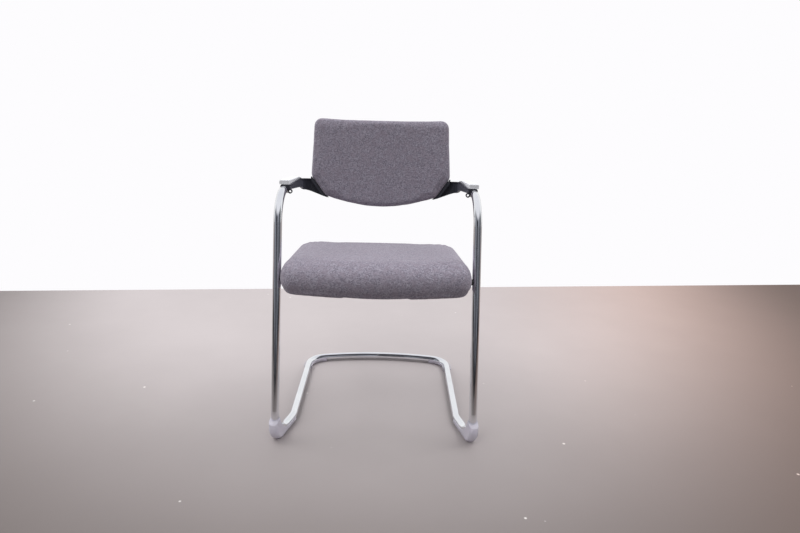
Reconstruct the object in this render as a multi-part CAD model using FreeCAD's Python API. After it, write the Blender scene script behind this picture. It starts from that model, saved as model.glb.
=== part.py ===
import FreeCAD, Part
import math
import os

# Cantilever armchair. Millimetres, +Z up, the chair faces -Y. Left and right are as seen from the front,
# so right is +X. Everything is drawn with the floor at Z = 0 and the corner of the foot at Y = 0, and is
# moved at the end so that the origin is the centre of the bounding box, on the floor.

# Frame tube and its path
TUBE_OD = 22.0
TUBE_WALL = 2.0
SOLE = 2.5                   # plastic between the tube and the floor
FOOT_HALF_SPAN = 265.5       # centre plane to the upright's centre line, at the floor
UPRIGHT_TAPER = 0.0064       # inward per millimetre of rise
UPRIGHT_LEAN = 0.220         # rearward per millimetre of rise
ARM_HEIGHT = 646.5           # where the upright's and the arm's centre lines meet
ARM_TOE_IN = 0.030           # inward per millimetre of depth
ARM_DROP = 0.030             # downward per millimetre of depth
ARM_END = 391.0
RUNNER_HALF_SPAN = 233.0
KINK_DEPTH = 120.0
CROSSBAR_DEPTH = 533.0       # the crossbar's middle, its rearmost point
CROSSBAR_RADIUS = 843.0
ARM_BEND = 90.0
FOOT_BEND = 58.0
KINK_BEND = 70.0
REAR_BEND = 60.0
JOINT_SLEEVE_OD = 16.6
JOINT_SLEEVE_WALL = 2.0
JOINT_SLEEVE_LENGTH = 60.0
WELD_WIDTH = 5.0
WELD_HEIGHT = 0.6
PLUG_LENGTH = 14.0
PLUG_CAP = 2.5

# Glides
GLIDE_WALL = 2.6
GLIDE_FIT = 0.15
GLIDE_LIP = 1.5              # how far a glide reaches past the tube's centre line
GLIDE_EDGE = 10.5
FRONT_GLIDE_TRIM = 19.0      # degrees of the foot bend, from the upright, that it leaves bare
FRONT_GLIDE_SCOOP = 45.0     # slope of its top edge, which dips in front of the tube
FRONT_GLIDE_RUN = 112.0      # from the foot's corner along the floor
FRONT_GLIDE_NOSE = 38.0
REAR_GLIDE_RUN = 18.0        # along the runner, ahead of the rear bend
REAR_GLIDE_REACH = 178.0     # centre plane to the glide's inner end
PEG_RADIUS = 3.0
PEG_FIT = 0.15

# Seat
SEAT_BAR_HEIGHT = 430.0      # where the bar that carries the seat meets the uprights
SEAT_TILT = 3.5              # degrees, rear end down
SEAT_WEDGE = 3.5             # degrees by which the top slopes more than the underside
SEAT_OVERHANG = 106.0        # cushion's front to the seat bar
SEAT_BAR_LEVEL = 27.0        # seat bar's centre above the cushion's underside
SEAT_FRONT_WIDTH = 492.0
SEAT_REAR_WIDTH = 474.0
SEAT_DEPTH = 480.0
SEAT_SWEEP = 50.0            # front corners behind the middle of the front edge
SEAT_NOSE_RADIUS = 650.0
SEAT_FRONT_CORNER = 52.0
SEAT_REAR_CORNER = 42.0
SEAT_THICKNESS = 80.0        # over the seat bar
SEAT_BELLY = 30.0            # height of the widest outline
SEAT_TUCK = 17.0             # how far the outline draws in at the underside
SEAT_SIDE_CROWN = 34.0       # widths of the rounded shoulders
SEAT_FRONT_CROWN = 100.0
SEAT_REAR_CROWN = 34.0
SEAT_CROWN_POWER = 2.4
BELLY_SHARES = (0.0, 0.45, 1.0)
CROWN_SHARES = (0.45, 0.72, 0.9, 0.985, 1.0)
PAN_INSET = 24.0
PAN_WALL = 4.0
PAN_HEM = 2.0                # pan's lower edge above the cushion's underside
POST_RADIUS = 6.0
POST_INSET = 30.0
BOSS_RADIUS = 9.0
BOSS_HEIGHT = 8.0
BAR_OD = 16.0
BAR_WALL = 2.0
SPIGOT_LENGTH = 60.0
LOCK_SCREW_INSET = 46.0      # upright's inner side to the screw that locks the seat bar
SPIGOT_FIT = 0.3
RAIL_WIDTH = 28.0
RAIL_THICKNESS = 5.0
RAIL_SPACING = 300.0
RAIL_FRONT = 70.0
RAIL_REAR = 405.0
SEAT_SCREW_FRONT = 140.0
SEAT_SCREW_REAR = 340.0
COVER_THICKNESS = 3.0
COVER_SCREW_LENGTH = 11.0
SOFT_GAP = 0.3

# Back
BACK_BASE_DEPTH = 444.0      # bottom edge of the cushion's face, on the centre plane
BACK_BASE_HEIGHT = 558.0
BACK_LEAN = 10.7             # degrees
BACK_HEIGHT = 269.0
BACK_TOP_WIDTH = 414.0
BACK_LOW_WIDTH = 430.0
BACK_LOW_HEIGHT = 92.0       # where the sides turn into the slanted corners
BACK_FOOT_WIDTH = 346.0      # where the slanted corners meet the curved lower edge
BACK_FOOT_HEIGHT = 32.5
BACK_TOP_CORNER = 24.0
BACK_LOW_CORNER = 20.0
BACK_CUSHION = 38.0
BACK_FACE_RADIUS = 900.0
BACK_SUPPORT_RADIUS = 688.0
BACK_EDGE = 12.0
BOARD_INSET = 18.0
BOARD_THICKNESS = 8.0
INSERT_FLOOR = 1.2           # board left in front of an insert
SCREW_TIP = 1.6              # and in front of a screw
SHELL_SCREW_INSET = 34.0
SHELL_SCREW_DROP = 60.0
SHELL_THICKNESS = 3.0
SHELL_INSET = 7.0
SHELL_EAR = 8.0              # how far the shell and the wings stand out at the slanted corners

# Arms
ARM_FRONT = 219.0
ARM_SKIN = 2.7               # over the top of the tube
ARM_SIDE = 3.6
ARM_FIT = 0.15
ARM_LIP_HEIGHT = 5.0         # outer edge of the skin above the tube's centre line
ARM_LIP_CORNER = 5.0
ARM_SIDE_FRONT = 12.5        # depth of the inner side at the arm's front
ARM_SIDE_REAR = 28.0         # and at the tube's end
WING_WALL = 3.0
WING_EDGE_WIDTH = 7.6        # thickened border of the wing
WING_EDGE_HEIGHT = 3.2
WING_BEND = 40.0
WING_INNER = 104.0           # centre plane to the wing's inner end, behind the cushion
WING_INNER_FOOT = 26.0       # height of the wing's lower edge above the back's, behind the cushion
WING_INNER_TOP = 79.0        # and of its top edge
WING_OUTER_FOOT = 31.5       # height of the wing beside the tube's end
WING_STEP = 2.5              # its top edge there below the arm's top face
WING_SCREW_NEAR = 16.0       # from the wing's inner end
WING_SCREW_FAR = 52.0
WING_SPACE = 10.0            # between the cushion's back and the rear shell
CHEEK_REACH = 16.0           # how far the wing's cheek comes forward beside the cushion's slant
CHEEK_RISE = 6.0             # its tip above the wing's top edge
LUG_RADIUS = 6.2
LUG_HOLE = 3.3
LUG_LENGTH = 6.0
LUG_TURN = 18.0              # degrees round the tube, from its inner side down
PAD_FRONT_WIDTH = 28.0
PAD_REAR_WIDTH = 24.0
PAD_FRONT_HEIGHT = 12.5
PAD_REAR_HEIGHT = 2.6
PAD_EDGE = 4.0
PAD_NOSE_EDGE = 2.8
PAD_FIT = 0.05
PAD_SCREW_BITE = 3.0
ARM_SCREW_FRONT = 252.0
ARM_SCREW_REAR = 345.0

# Fasteners
SCREW_RADIUS = 2.5
SCREW_HEAD_RADIUS = 4.8
SCREW_HEAD_HEIGHT = 2.6
SCREW_FIT = 0.15
INSERT_RADIUS = 4.2
INSERT_FIT = 0.05
BIG_SCREW_RADIUS = 3.0
BIG_HEAD_RADIUS = 5.5
BIG_HEAD_HEIGHT = 3.5
BIG_INSERT_RADIUS = 5.0
HOLE_END = 0.5               # play past a screw's tip
HEAD_CROWN = 0.4             # share of a screw head's height that is rounded

TUBE_RADIUS = TUBE_OD / 2
AXIS_HEIGHT = TUBE_RADIUS + SOLE
UP = FreeCAD.Vector(0, 0, 1)
BEYOND = 1.0                 # how far a cutter runs past a face
CUTTER = 1200.0              # larger than the chair


def vec(x, y, z):
    return FreeCAD.Vector(x, y, z)


def unit(vector):
    return FreeCAD.Vector(vector).normalize()


def mirrored(shape):
    return shape.mirror(vec(0, 0, 0), vec(1, 0, 0))


def placed(shape, placement):
    return shape.transformed(placement.toMatrix())


# Paths and outlines

def rounded(points, radii, closed=False):
    """Edges of a path whose corners are rounded; radii lists the corners that have one."""
    count = len(points)
    corners = range(count) if closed else range(1, count - 1)
    arcs = []
    for corner, radius in zip(corners, radii):
        at = points[corner]
        back = unit(points[corner - 1] - at)
        on = unit(points[(corner + 1) % count] - at)
        half = back.getAngle(on) / 2
        reach = radius / math.tan(half)
        centre = at + unit(back + on) * (radius / math.sin(half))
        middle = centre + unit(at - centre) * radius
        arcs.append((at + back * reach, middle, at + on * reach))
    if closed:
        stops = [arcs[-1][2]] + [point for arc in arcs for point in (arc[0], arc[2])]
    else:
        stops = [points[0]] + [point for arc in arcs for point in (arc[0], arc[2])] + [points[-1]]
    edges = []
    for number, arc in enumerate(arcs):
        edges.append(Part.makeLine(stops[2 * number], stops[2 * number + 1]))
        edges.append(Part.Arc(*arc).toShape())
    if not closed:
        edges.append(Part.makeLine(stops[-2], stops[-1]))
    return edges


def inset(points, distances):
    """Corners of a flat outline, listed anticlockwise, after side i, which runs from point i to the next,
    moves inwards by its own distance."""
    sides = []
    for number, distance in enumerate(distances):
        start = points[number]
        end = points[(number + 1) % len(points)]
        length = math.dist(start, end)
        along = ((end[0] - start[0]) / length, (end[1] - start[1]) / length)
        sides.append((start[0] - along[1] * distance, start[1] + along[0] * distance, along))
    corners = []
    for number in range(len(points)):
        x1, y1, (ax, ay) = sides[number - 1]
        x2, y2, (bx, by) = sides[number]
        step = ((x2 - x1) * by - (y2 - y1) * bx) / (ax * by - ay * bx)
        corners.append((x1 + ax * step, y1 + ay * step))
    return corners


def rod(start, end, radius):
    axis = end - start
    return Part.makeCylinder(radius, axis.Length, start, axis)


def ring(start, end, outer, inner):
    return rod(start, end, outer).cut(rod(start, end, inner))


def swept(edges, profile):
    return Part.Wire(edges).makePipe(profile)


def disc(start, direction, radius):
    return Part.Face(Part.Wire(Part.makeCircle(radius, start, direction)))


def screw(at, direction, length, radius, head_radius, head_height):
    """A pan-head screw; the head's underside is at the given point and the shank runs on from it."""
    direction = unit(direction)
    head = rod(at - direction * head_height, at, head_radius)
    crown = [edge for edge in head.Edges if (edge.CenterOfMass - at).Length > head_height - SCREW_FIT]
    head = head.makeFillet(head_height * HEAD_CROWN, crown)
    return head.fuse(rod(at, at + direction * length, radius))


# Frame

def upright_point(height):
    """Centre of the right upright at a height above the floor."""
    rise = height - AXIS_HEIGHT
    return vec(FOOT_HALF_SPAN - UPRIGHT_TAPER * rise, UPRIGHT_LEAN * rise, height)


def arm_point(depth):
    """Centre of the right arm tube at a depth."""
    corner = upright_point(ARM_HEIGHT)
    run = depth - corner.y
    return vec(corner.x - ARM_TOE_IN * run, depth, ARM_HEIGHT - ARM_DROP * run)


def crossbar_point(half_span):
    """Centre of the bowed crossbar at a distance from the centre plane."""
    rise = math.sqrt(CROSSBAR_RADIUS ** 2 - half_span ** 2)
    return vec(half_span, CROSSBAR_DEPTH - CROSSBAR_RADIUS + rise, AXIS_HEIGHT)


def rear_bend():
    """Centre of the rear bend, which touches the runner and the bowed crossbar."""
    x = RUNNER_HALF_SPAN - REAR_BEND
    y = CROSSBAR_DEPTH - CROSSBAR_RADIUS + math.sqrt((CROSSBAR_RADIUS - REAR_BEND) ** 2 - x ** 2)
    return vec(x, y, AXIS_HEIGHT)


def rear_edges(runner_start, crossbar_end):
    """Runner, rear bend and crossbar, as far as a distance from the centre plane."""
    bend = rear_bend()
    bow = vec(0, CROSSBAR_DEPTH - CROSSBAR_RADIUS, AXIS_HEIGHT)
    touch = bow + unit(bend - bow) * CROSSBAR_RADIUS
    bend_start = bend + vec(REAR_BEND, 0, 0)
    bend_middle = bend + unit(unit(vec(1, 0, 0)) + unit(touch - bend)) * REAR_BEND
    return [Part.makeLine(runner_start, bend_start),
            Part.Arc(bend_start, bend_middle, touch).toShape(),
            Part.Arc(touch, crossbar_point((touch.x + crossbar_end) / 2),
                     crossbar_point(crossbar_end)).toShape()]


def frame_edges():
    """Centre line of the right half of the frame, from the arm's rear end to the crossbar's middle."""
    kink = vec(RUNNER_HALF_SPAN, KINK_DEPTH, AXIS_HEIGHT)
    behind_kink = vec(RUNNER_HALF_SPAN, (KINK_DEPTH + rear_bend().y) / 2, AXIS_HEIGHT)
    front = rounded([arm_point(ARM_END), upright_point(ARM_HEIGHT), upright_point(AXIS_HEIGHT), kink,
                     behind_kink], [ARM_BEND, FOOT_BEND, KINK_BEND])
    return front + rear_edges(behind_kink, 0)


def frame_solid(radius):
    start = arm_point(ARM_END)
    return swept(frame_edges(), disc(start, arm_point(ARM_FRONT) - start, radius))


def peg_places():
    """Where the pegs of the front and the rear glide enter the tube."""
    foot = upright_point(AXIS_HEIGHT)
    kink = vec(RUNNER_HALF_SPAN, KINK_DEPTH, AXIS_HEIGHT)
    front = foot + unit(kink - foot) * (FRONT_GLIDE_RUN - 3 * GLIDE_EDGE)
    bend = rear_bend()
    rear = bend + unit(vec(1, 1, 0)) * REAR_BEND
    return [front, rear]


def arm_screw_places():
    return [arm_point(ARM_SCREW_FRONT), arm_point(ARM_SCREW_REAR)]


def seat_spigot():
    """Pin that is welded to the upright and holds the seat bar."""
    upright = upright_point(SEAT_BAR_HEIGHT)
    start = upright - vec(TUBE_RADIUS - TUBE_WALL / 2, 0, 0)
    end = upright - vec(TUBE_RADIUS + SPIGOT_LENGTH, 0, 0)
    return rod(start, end, BAR_OD / 2 - BAR_WALL - SPIGOT_FIT)


def frame_tube():
    tube = frame_solid(TUBE_RADIUS).cut(frame_solid(TUBE_RADIUS - TUBE_WALL))
    tube = tube.fuse(seat_spigot())
    for place in peg_places():
        tube = tube.cut(rod(place, place - UP * TUBE_OD, PEG_RADIUS + PEG_FIT))
    for place in arm_screw_places():
        tube = tube.cut(rod(place - UP * TUBE_OD, place + UP * TUBE_OD, SCREW_RADIUS + SCREW_FIT))
    return tube.cut(seat_lock_hole(SCREW_RADIUS + SCREW_FIT))


def joint_sleeve():
    half = vec(JOINT_SLEEVE_LENGTH / 2, 0, 0)
    middle = vec(0, CROSSBAR_DEPTH, AXIS_HEIGHT)
    outer = JOINT_SLEEVE_OD / 2
    return ring(middle - half, middle + half, outer, outer - JOINT_SLEEVE_WALL)


def joint_weld():
    """Bead round the butt joint in the middle of the crossbar."""
    middle = vec(0, CROSSBAR_DEPTH, AXIS_HEIGHT)
    half = vec(WELD_WIDTH / 2, 0, 0)
    bead = ring(middle - half, middle + half, TUBE_RADIUS + WELD_HEIGHT, TUBE_RADIUS)
    rim = [edge for edge in bead.Edges
           if hasattr(edge.Curve, "Radius") and edge.Curve.Radius > TUBE_RADIUS + WELD_HEIGHT / 2]
    return bead.makeChamfer(WELD_HEIGHT * 2 / 3, rim)


def tube_plug():
    """Plug in the arm tube's rear end."""
    end = arm_point(ARM_END)
    along = unit(end - arm_point(ARM_FRONT))
    cap = rod(end, end + along * PLUG_CAP, TUBE_RADIUS)
    face = [edge for edge in cap.Edges if (edge.CenterOfMass - end).Length > PLUG_CAP - GLIDE_FIT]
    cap = cap.makeFillet(PLUG_CAP / 2, face)
    shank = rod(end, end - along * PLUG_LENGTH, TUBE_RADIUS - TUBE_WALL - GLIDE_FIT)
    hollow = rod(end - along * PLUG_CAP, end - along * (PLUG_LENGTH + PLUG_CAP), TUBE_RADIUS - 2 * TUBE_WALL)
    return cap.fuse(shank.cut(hollow))


# Glides

def peg(place):
    """Moulded peg that snaps into the hole in the tube's underside."""
    return rod(place - UP * (AXIS_HEIGHT - SOLE / 2), place - UP * (TUBE_RADIUS - 2 * TUBE_WALL), PEG_RADIUS)


def trim_block(at, outward):
    """Large block on the outward side of a plane."""
    block = Part.makeBox(CUTTER, CUTTER, CUTTER, vec(-CUTTER / 2, -CUTTER / 2, 0))
    return placed(block, FreeCAD.Placement(at, FreeCAD.Rotation(UP, outward)))


def front_glide():
    """Clear saddle round the outside of the foot bend, with a deeper nose where the bend meets the floor."""
    foot = upright_point(AXIS_HEIGHT)
    kink = vec(RUNNER_HALF_SPAN, KINK_DEPTH, AXIS_HEIGHT)
    up = unit(upright_point(AXIS_HEIGHT + FOOT_BEND) - foot)
    along = unit(kink - foot)
    across = unit(up.cross(along))
    out_up = unit(up * up.dot(along) - along)
    out_along = unit(along * up.dot(along) - up)
    half_turn = up.getAngle(along) / 2
    reach = FOOT_BEND / math.tan(half_turn)
    depth = AXIS_HEIGHT + SOLE / 2
    lip = GLIDE_LIP
    top = foot + up * (reach + GLIDE_EDGE)
    end = foot + along * FRONT_GLIDE_RUN
    sole_corner = foot - (up + along) * (depth / math.sin(2 * half_turn))
    lip_corner = foot + (up + along) * (lip / math.sin(2 * half_turn))
    sole = rounded([top + out_up * depth, sole_corner, end + out_along * depth], [FRONT_GLIDE_NOSE])
    inner = rounded([end - out_along * lip, lip_corner, top - out_up * lip], [FOOT_BEND - lip])
    ends = [Part.makeLine(end + out_along * depth, end - out_along * lip),
            Part.makeLine(top - out_up * lip, top + out_up * depth)]
    half = TUBE_RADIUS + GLIDE_WALL
    face = Part.Face(Part.Wire(sole + [ends[0]] + inner + [ends[1]]))
    face.translate(across * -half)
    body = face.extrude(across * (2 * half))
    body = body.makeFillet(GLIDE_EDGE, sole_side_edges(body, sole, across, half))
    trim = math.radians(FRONT_GLIDE_TRIM)
    scoop = math.radians(FRONT_GLIDE_SCOOP)
    centre = foot + unit(up + along) * (FOOT_BEND / math.sin(half_turn))
    rim = centre + (out_up * math.cos(trim) - up * math.sin(trim)) * FOOT_BEND
    body = body.cut(trim_block(rim, up * math.cos(scoop) + out_up * math.sin(scoop)))
    body = body.cut(frame_solid(TUBE_RADIUS + GLIDE_FIT))
    return body.fuse(peg(peg_places()[0])).cut(trim_block(vec(0, 0, 0), -UP))


def sole_side_edges(body, sole, across, half):
    """Edges of an extruded glide that run along both sides of its sole."""
    chosen = []
    for sole_edge in sole:
        middle = sole_edge.valueAt((sole_edge.FirstParameter + sole_edge.LastParameter) / 2)
        for edge in body.Edges:
            centre = edge.valueAt((edge.FirstParameter + edge.LastParameter) / 2)
            for side in (-1, 1):
                if (centre - middle - across * (side * half)).Length < GLIDE_FIT:
                    chosen.append(edge)
    return chosen


def rear_glide():
    """Clear saddle under the rear bend."""
    bend = rear_bend()
    start = bend + vec(REAR_BEND, -REAR_GLIDE_RUN, 0)
    half = TUBE_RADIUS + GLIDE_WALL
    top = AXIS_HEIGHT + GLIDE_LIP
    corners = [start + vec(-half, 0, GLIDE_LIP), start + vec(-half, 0, -AXIS_HEIGHT),
               start + vec(half, 0, -AXIS_HEIGHT), start + vec(half, 0, GLIDE_LIP)]
    section = rounded(corners, [GLIDE_EDGE, GLIDE_EDGE])
    section.append(Part.makeLine(corners[-1], corners[0]))
    body = swept(rear_edges(start, REAR_GLIDE_REACH), Part.Face(Part.Wire(section)))
    body = body.cut(frame_solid(TUBE_RADIUS + GLIDE_FIT))
    return body.fuse(peg(peg_places()[1]))


# Seat, drawn level with its underside at Z = 0 and the middle of its front edge at Y = 0

def seat_placement():
    tilt = FreeCAD.Rotation(vec(1, 0, 0), -SEAT_TILT)
    upright = upright_point(SEAT_BAR_HEIGHT)
    bar = vec(0, upright.y, upright.z)
    return FreeCAD.Placement(bar - tilt.multVec(vec(0, SEAT_OVERHANG, SEAT_BAR_LEVEL)), tilt)


def seat_wire(side, front, rear, height):
    """Seat outline at a height, drawn in by its own distance at the sides, the front and the rear."""
    slope = math.atan2(SEAT_SWEEP, SEAT_FRONT_WIDTH / 2)
    nose = -SEAT_NOSE_RADIUS * (1 / math.cos(slope) - 1)
    plan = [(0, nose), (SEAT_FRONT_WIDTH / 2, SEAT_SWEEP + nose), (SEAT_REAR_WIDTH / 2, SEAT_DEPTH),
            (-SEAT_REAR_WIDTH / 2, SEAT_DEPTH), (-SEAT_FRONT_WIDTH / 2, SEAT_SWEEP + nose)]
    corners = inset(plan, [front, side, rear, side, front])
    least = min(SEAT_FRONT_CORNER, SEAT_REAR_CORNER) / 2
    radii = [SEAT_NOSE_RADIUS - front, max(SEAT_FRONT_CORNER - side, least),
             max(SEAT_REAR_CORNER - side, least), max(SEAT_REAR_CORNER - side, least),
             max(SEAT_FRONT_CORNER - side, least)]
    return Part.Wire(rounded([vec(x, y, height) for x, y in corners], radii, closed=True))


def seat_block(distance, low, high):
    face = Part.Face(seat_wire(distance, distance, distance, low))
    return face.extrude(vec(0, 0, high - low))


def plate_level():
    """Underside of the pan's plate, which lies on the rails."""
    return SEAT_BAR_LEVEL + BAR_OD / 2 + RAIL_THICKNESS


def rail_screw_places():
    return [(side * RAIL_SPACING / 2, y) for side in (-1, 1) for y in (SEAT_SCREW_FRONT, SEAT_SCREW_REAR)]


def post_places():
    """Posts for the under cover, near the pan's corners."""
    front = SEAT_FRONT_WIDTH / 2 - PAN_INSET - POST_INSET
    rear = SEAT_REAR_WIDTH / 2 - PAN_INSET - POST_INSET
    near = SEAT_SWEEP + PAN_INSET + POST_INSET / 2
    far = SEAT_DEPTH - PAN_INSET - POST_INSET
    return [(side * x, y) for side in (-1, 1) for x, y in ((front, near), (rear, far))]


def seat_cushion():
    """Upholstered foam: widest at the belly, tucked under below it and crowned above it."""
    wires = []
    for share in BELLY_SHARES:
        tuck = SEAT_TUCK * (1 - share) ** 2
        wires.append(seat_wire(tuck, tuck, tuck, SEAT_BELLY * share))
    for share in CROWN_SHARES:
        draw = 1 - (1 - share ** SEAT_CROWN_POWER) ** (1 / SEAT_CROWN_POWER)
        height = SEAT_BELLY + (SEAT_THICKNESS - SEAT_BELLY) * share
        wire = seat_wire(SEAT_SIDE_CROWN * draw, SEAT_FRONT_CROWN * draw, SEAT_REAR_CROWN * draw, height)
        wire.rotate(vec(0, SEAT_OVERHANG, height), vec(1, 0, 0), -SEAT_WEDGE * share)
        wires.append(wire)
    cushion = Part.makeLoft(wires, True, False)
    top = plate_level() + PAN_WALL
    cushion = cushion.cut(seat_block(PAN_INSET - SOFT_GAP, -BEYOND, top + SOFT_GAP))
    for x, y in rail_screw_places():
        boss = rod(vec(x, y, top), vec(x, y, top + BOSS_HEIGHT + SOFT_GAP), BOSS_RADIUS + SOFT_GAP)
        cushion = cushion.cut(boss)
    return cushion.cut(seat_bar_envelope(BAR_OD / 2 + SOFT_GAP))


def seat_bar_envelope(radius):
    half = SEAT_FRONT_WIDTH / 2 + BAR_OD
    return rod(vec(-half, SEAT_OVERHANG, SEAT_BAR_LEVEL), vec(half, SEAT_OVERHANG, SEAT_BAR_LEVEL), radius)


def seat_pan():
    """Moulded tray, open below, with bosses for the rail screws and posts for the under cover."""
    level = plate_level()
    top = level + PAN_WALL + BOSS_HEIGHT
    foot = PAN_HEM + COVER_THICKNESS
    pan = seat_block(PAN_INSET, PAN_HEM, level + PAN_WALL)
    pan = pan.cut(seat_block(PAN_INSET + PAN_WALL, PAN_HEM - BEYOND, level))
    for x, y in rail_screw_places():
        pan = pan.fuse(rod(vec(x, y, level + PAN_WALL / 2), vec(x, y, top), BOSS_RADIUS))
        pan = pan.cut(rod(vec(x, y, level - BEYOND), vec(x, y, top - INSERT_FLOOR), BIG_INSERT_RADIUS))
    for x, y in post_places():
        pan = pan.fuse(rod(vec(x, y, foot), vec(x, y, level + PAN_WALL / 2), POST_RADIUS))
        hole = rod(vec(x, y, foot - BEYOND), vec(x, y, foot + COVER_SCREW_LENGTH), SCREW_RADIUS + SCREW_FIT)
        pan = pan.cut(hole)
    return pan.cut(seat_bar_envelope(BAR_OD / 2 + SOFT_GAP))


def seat_under_cover():
    """Panel that closes the tray from below."""
    cover = seat_block(PAN_INSET + PAN_WALL + SOFT_GAP, PAN_HEM, PAN_HEM + COVER_THICKNESS)
    for x, y in post_places():
        hole = rod(vec(x, y, 0), vec(x, y, PAN_HEM + 2 * COVER_THICKNESS), SCREW_RADIUS + SCREW_FIT)
        cover = cover.cut(hole)
    return cover


def under_cover_screws():
    return Part.makeCompound([screw(vec(x, y, PAN_HEM), UP, COVER_SCREW_LENGTH, SCREW_RADIUS,
                                    SCREW_HEAD_RADIUS, SCREW_HEAD_HEIGHT / 2) for x, y in post_places()])


def seat_screws():
    low = SEAT_BAR_LEVEL + BAR_OD / 2
    length = RAIL_THICKNESS + PAN_WALL + BOSS_HEIGHT - INSERT_FLOOR - HOLE_END
    return Part.makeCompound([screw(vec(x, y, low), UP, length, BIG_SCREW_RADIUS, BIG_HEAD_RADIUS,
                                    BIG_HEAD_HEIGHT) for x, y in rail_screw_places()])


def seat_inserts():
    low = plate_level()
    high = low + PAN_WALL + BOSS_HEIGHT - INSERT_FLOOR
    return Part.makeCompound([ring(vec(x, y, low), vec(x, y, high), BIG_INSERT_RADIUS - INSERT_FIT,
                                   BIG_SCREW_RADIUS + INSERT_FIT) for x, y in rail_screw_places()])


def seat_rail():
    """Right one of the two flat bars under the pan."""
    low = SEAT_BAR_LEVEL + BAR_OD / 2
    x = RAIL_SPACING / 2
    corner = vec(x - RAIL_WIDTH / 2, RAIL_FRONT, low)
    rail = Part.makeBox(RAIL_WIDTH, RAIL_REAR - RAIL_FRONT, RAIL_THICKNESS, corner)
    ends = [edge for edge in rail.Edges if edge.BoundBox.ZLength > RAIL_THICKNESS / 2]
    rail = rail.makeFillet(RAIL_WIDTH / 3, ends)
    for y in (SEAT_SCREW_FRONT, SEAT_SCREW_REAR):
        top = low + RAIL_THICKNESS
        hole = rod(vec(x, y, low - BEYOND), vec(x, y, top + BEYOND), BIG_SCREW_RADIUS + SCREW_FIT)
        rail = rail.cut(hole)
    return placed(rail, seat_placement())


def seat_rear_bar():
    """Flat bar that ties the two rails together at the rear."""
    length = RAIL_SPACING + RAIL_WIDTH
    low = SEAT_BAR_LEVEL + BAR_OD / 2 - RAIL_THICKNESS
    corner = vec(-length / 2, RAIL_REAR - 1.5 * RAIL_WIDTH, low)
    return Part.makeBox(length, RAIL_WIDTH, RAIL_THICKNESS, corner)


def seat_lock_hole(radius):
    """Hole for the screw that locks the seat bar on the right spigot, in the chair's own frame."""
    upright = upright_point(SEAT_BAR_HEIGHT)
    x = upright.x - TUBE_RADIUS - LOCK_SCREW_INSET
    hole = rod(vec(x, SEAT_OVERHANG, SEAT_BAR_LEVEL - BAR_OD), vec(x, SEAT_OVERHANG, SEAT_BAR_LEVEL), radius)
    return placed(hole, seat_placement())


def seat_bar():
    """Tube between the uprights; each end is coped to the upright and slides over its spigot."""
    upright = upright_point(SEAT_BAR_HEIGHT)
    left = vec(-upright.x, upright.y, upright.z)
    bar = ring(left, upright, BAR_OD / 2, BAR_OD / 2 - BAR_WALL)
    tube = rod(upright_point(SEAT_BAR_HEIGHT - 2 * TUBE_OD), upright_point(SEAT_BAR_HEIGHT + 2 * TUBE_OD),
               TUBE_RADIUS + SOFT_GAP / 2)
    hole = seat_lock_hole(SCREW_RADIUS + SCREW_FIT)
    for cutter in (tube, mirrored(tube), hole, mirrored(hole)):
        bar = bar.cut(cutter)
    return bar


def seat_lock_screws():
    upright = upright_point(SEAT_BAR_HEIGHT)
    x = upright.x - TUBE_RADIUS - LOCK_SCREW_INSET
    low = SEAT_BAR_LEVEL - BAR_OD / 2
    one = placed(screw(vec(x, SEAT_OVERHANG, low), UP, BAR_OD / 2 - HOLE_END, SCREW_RADIUS,
                       SCREW_HEAD_RADIUS, SCREW_HEAD_HEIGHT), seat_placement())
    return Part.makeCompound([one, mirrored(one)])


# Back, drawn upright: X across, Y to the rear from the cushion's face, Z up from its lower edge

def back_placement():
    lean = FreeCAD.Rotation(vec(1, 0, 0), -BACK_LEAN)
    return FreeCAD.Placement(vec(0, BACK_BASE_DEPTH, BACK_BASE_HEIGHT), lean)


def back_prism(bottom, slant, side, top):
    """The back's front view, each side drawn in by its own distance, run through the whole thickness."""
    half_top = BACK_TOP_WIDTH / 2
    half_low = BACK_LOW_WIDTH / 2
    half_foot = BACK_FOOT_WIDTH / 2
    view = [(-half_foot, BACK_FOOT_HEIGHT), (half_foot, BACK_FOOT_HEIGHT), (half_low, BACK_LOW_HEIGHT),
            (half_top, BACK_HEIGHT), (-half_top, BACK_HEIGHT), (-half_low, BACK_LOW_HEIGHT)]
    corners = [vec(x, -BACK_FACE_RADIUS / 6, z)
               for x, z in inset(view, [bottom, slant, side, top, side, slant])]
    edges = rounded(corners[1:] + corners[:1],
                    [BACK_LOW_CORNER, BACK_TOP_CORNER, BACK_TOP_CORNER, BACK_LOW_CORNER])
    lowest = vec(0, corners[0].y, bottom)
    edges.append(Part.Arc(corners[0], lowest, corners[1]).toShape())
    return Part.Face(Part.Wire(edges)).extrude(vec(0, BACK_FACE_RADIUS / 3, 0))


def back_cylinder(radius, depth):
    """Upright cylinder whose wall crosses the centre plane at a depth behind the cushion's face."""
    base = vec(0, depth - radius, -BACK_HEIGHT)
    return Part.makeCylinder(radius, 3 * BACK_HEIGHT, base)


def back_layer(prism, depth, thickness):
    """Part of a prism between two cylinders that follow the support's curve, from a depth to the rear."""
    outer = BACK_SUPPORT_RADIUS - BACK_CUSHION + depth + thickness
    return prism.common(back_cylinder(outer, depth + thickness)).cut(back_cylinder(outer - thickness, depth))


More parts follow.
